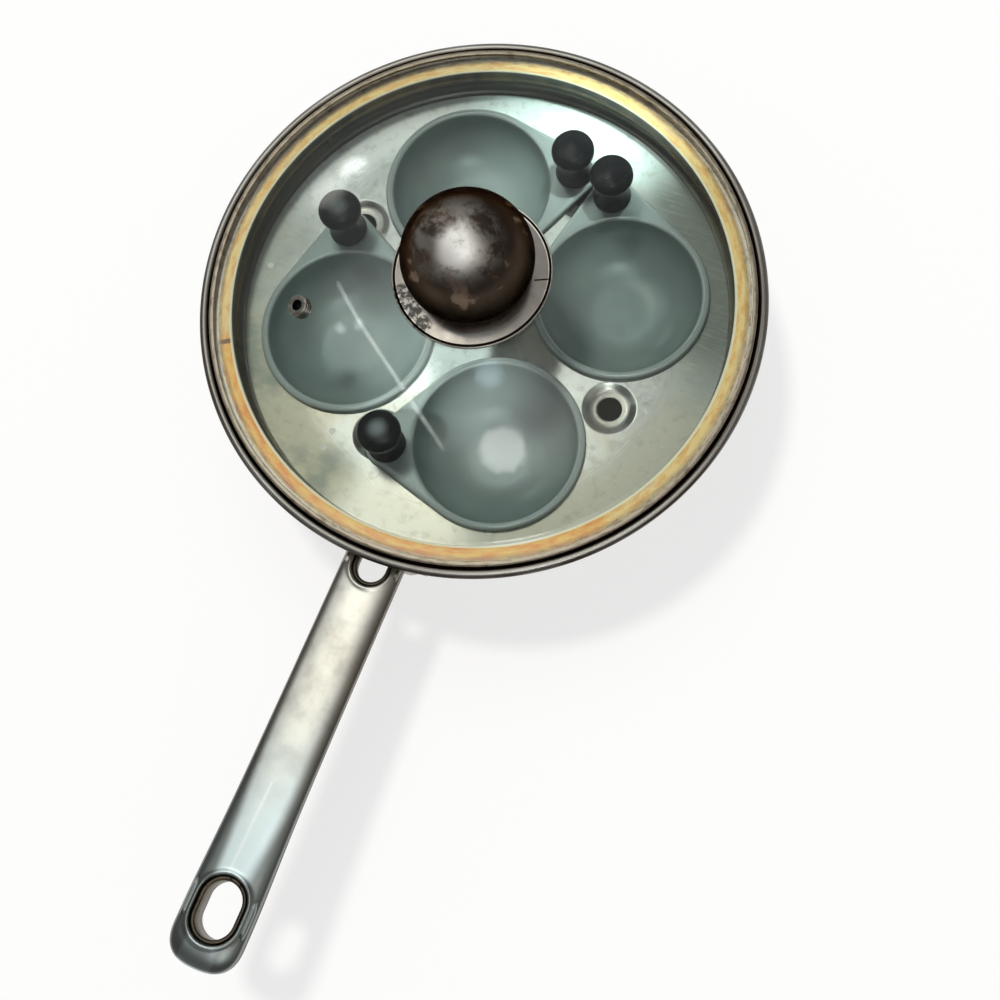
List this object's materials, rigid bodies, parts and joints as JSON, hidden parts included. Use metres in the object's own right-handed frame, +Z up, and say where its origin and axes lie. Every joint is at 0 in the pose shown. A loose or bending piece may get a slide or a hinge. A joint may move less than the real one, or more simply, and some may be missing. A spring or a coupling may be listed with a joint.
{
  "type": "egg poacher pan",
  "caption": "Low round steel pan with a long hollow handle, a drop-in tray of lift-out non-stick egg cups and a domed glass lid with a ball knob.",
  "frame": {"origin": "centre of the underside of the base, where the pan rests on the hob", "axes": "+Z up along the pan's axis; the handle runs along -Y"},
  "size_m": [0.212, 0.362, 0.1154],
  "materials": {
    "satin_steel": "satin stainless steel",
    "handle_steel": "finely polished stainless steel",
    "mirror_steel": "mirror polished",
    "aluminium_core": "plain",
    "lid_glass": "clear tempered glass",
    "ball_plastic": "dark mottled, glossy",
    "black_plastic": "moulded, semi-gloss",
    "non_stick": "grey-green non-stick coating",
    "silicone": "soft, translucent white",
    "brass": "turned"
  },
  "bodies": {
    "pan": {"pan_shell": "satin_steel", "base_core": "aluminium_core", "base_cap": "satin_steel", "handle_bracket": "satin_steel", "rivet_left": "satin_steel", "rivet_right": "satin_steel", "handle_upper": "handle_steel", "handle_lower": "handle_steel"},
    "lid": {"lid_glass": "lid_glass", "lid_band": "satin_steel", "vent_eyelet": "mirror_steel", "knob_plate": "mirror_steel", "knob_ball": "ball_plastic", "knob_seal": "silicone", "under_seal": "silicone", "under_washer": "satin_steel", "knob_screw": "satin_steel", "knob_insert": "brass"},
    "tray": {"poacher_tray": "satin_steel"},
    "cup_right": {"cup_right_bowl": "non_stick", "cup_right_knob": "black_plastic", "cup_right_insert": "brass", "cup_right_screw": "satin_steel"},
    "cup_back": {"cup_back_bowl": "non_stick", "cup_back_knob": "black_plastic", "cup_back_insert": "brass", "cup_back_screw": "satin_steel"},
    "cup_left": {"cup_left_bowl": "non_stick", "cup_left_knob": "black_plastic", "cup_left_insert": "brass", "cup_left_screw": "satin_steel"},
    "cup_front": {"cup_front_bowl": "non_stick", "cup_front_knob": "black_plastic", "cup_front_insert": "brass", "cup_front_screw": "satin_steel"}
  },
  "joints": [
    {"name": "lid_lift", "type": "slide", "parent": "pan", "child": "lid", "axis": [0, 0, 1], "range_m": [0, 0.16]},
    {"name": "tray_lift", "type": "slide", "parent": "pan", "child": "tray", "axis": [0, 0, 1], "range_m": [0, 0.08]},
    {"name": "cup_right_lift", "type": "slide", "parent": "tray", "child": "cup_right", "axis": [0, 0, 1], "range_m": [0, 0.04]},
    {"name": "cup_back_lift", "type": "slide", "parent": "tray", "child": "cup_back", "axis": [0, 0, 1], "range_m": [0, 0.04]},
    {"name": "cup_left_lift", "type": "slide", "parent": "tray", "child": "cup_left", "axis": [0, 0, 1], "range_m": [0, 0.04]},
    {"name": "cup_front_lift", "type": "slide", "parent": "tray", "child": "cup_front", "axis": [0, 0, 1], "range_m": [0, 0.04]}
  ],
  "couplings": [
    {"joint": "tray_lift", "follows": "lid_lift", "ratio": 0.5},
    {"joint": "cup_right_lift", "follows": "lid_lift", "ratio": 0.25},
    {"joint": "cup_back_lift", "follows": "lid_lift", "ratio": 0.25},
    {"joint": "cup_left_lift", "follows": "lid_lift", "ratio": 0.25},
    {"joint": "cup_front_lift", "follows": "lid_lift", "ratio": 0.25}
  ]
}
